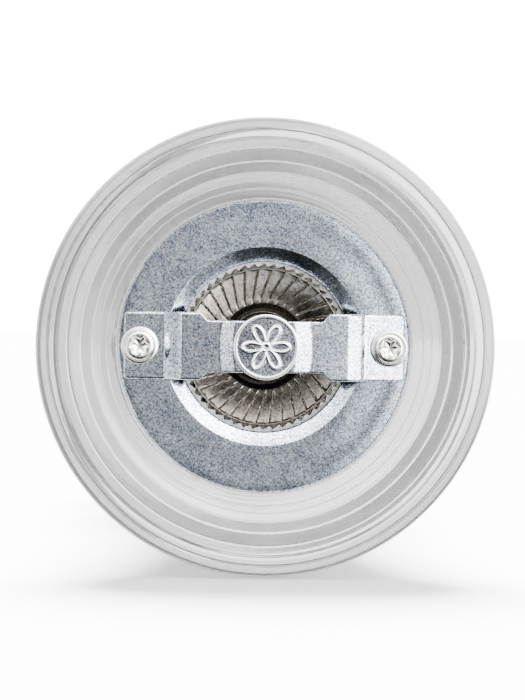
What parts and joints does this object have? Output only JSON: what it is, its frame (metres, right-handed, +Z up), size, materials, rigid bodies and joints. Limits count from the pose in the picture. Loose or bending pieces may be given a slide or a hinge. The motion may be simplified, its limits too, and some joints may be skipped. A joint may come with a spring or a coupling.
{
  "type": "pepper mill",
  "caption": "Free-standing pepper mill with a clear body, a turning clear head, a steel grinding mechanism and a knob that sets the grind.",
  "frame": {"origin": "centre of the foot's underside, on the table", "axes": "+Z up the mill's axis to the knob; the bridge and its two screws lie along X"},
  "size_m": [0.058, 0.058, 0.1803],
  "materials": {
    "clear_acrylic": "clear moulded acrylic",
    "plate_steel": "tumbled zinc-plated steel, speckled",
    "wheel_steel": "case-hardened steel, warm grey",
    "nickel": "bright nickel plate",
    "spring_steel": "bright spring wire",
    "shaft_steel": "drawn steel",
    "nylon": "natural nylon",
    "knob_steel": "turned and polished stainless steel",
    "brass": "machined brass"
  },
  "bodies": {
    "mill": {"body_shell": "clear_acrylic", "base_plate": "plate_steel", "grinding_ring": "wheel_steel", "support_bridge": "plate_steel", "bridge_screws": "nickel", "spring_guide": "plate_steel", "cone_spring": "spring_steel"},
    "carrier": {"thrust_washer": "nickel"},
    "spindle": {"drive_shaft": "shaft_steel", "grinding_cone": "wheel_steel", "retaining_clip": "spring_steel", "shaft_button": "plate_steel"},
    "turntable": {"neck_washer": "nylon"},
    "head": {"head_shell": "clear_acrylic", "drive_plate": "plate_steel", "drive_plate_screws": "nickel", "top_ferrule": "knob_steel"},
    "knob": {"adjusting_knob": "knob_steel", "knob_insert": "brass", "knob_disc": "plate_steel"},
    "knob_carrier": {"knob_washer": "nylon"}
  },
  "joints": [
    {"name": "head_turn", "type": "hinge", "parent": "mill", "child": "turntable", "pos_m": [0, 0, 0.112], "axis": [0, 0, 1], "continuous": true},
    {"name": "head_lift", "type": "slide", "parent": "turntable", "child": "head", "axis": [0, 0, 1], "range_m": [0, 0.07]},
    {"name": "knob_lift", "type": "slide", "parent": "head", "child": "knob_carrier", "axis": [0, 0, 1], "range_m": [0, 0.02]},
    {"name": "knob_turn", "type": "hinge", "parent": "knob_carrier", "child": "knob", "pos_m": [0, 0, 0.165], "axis": [0, 0, 1], "range_deg": [-360, 0]},
    {"name": "grind_adjust", "type": "slide", "parent": "mill", "child": "carrier", "axis": [0, 0, 1], "range_m": [0, 0.0008], "deforming": ["cone_spring"]},
    {"name": "spindle_turn", "type": "hinge", "parent": "carrier", "child": "spindle", "pos_m": [0, 0, 0.02], "axis": [0, 0, 1], "continuous": true}
  ],
  "couplings": [
    {"joint": "knob_turn", "follows": "grind_adjust", "rad_per_m": -7853.9},
    {"joint": "spindle_turn", "follows": "head_turn", "ratio": 1}
  ]
}
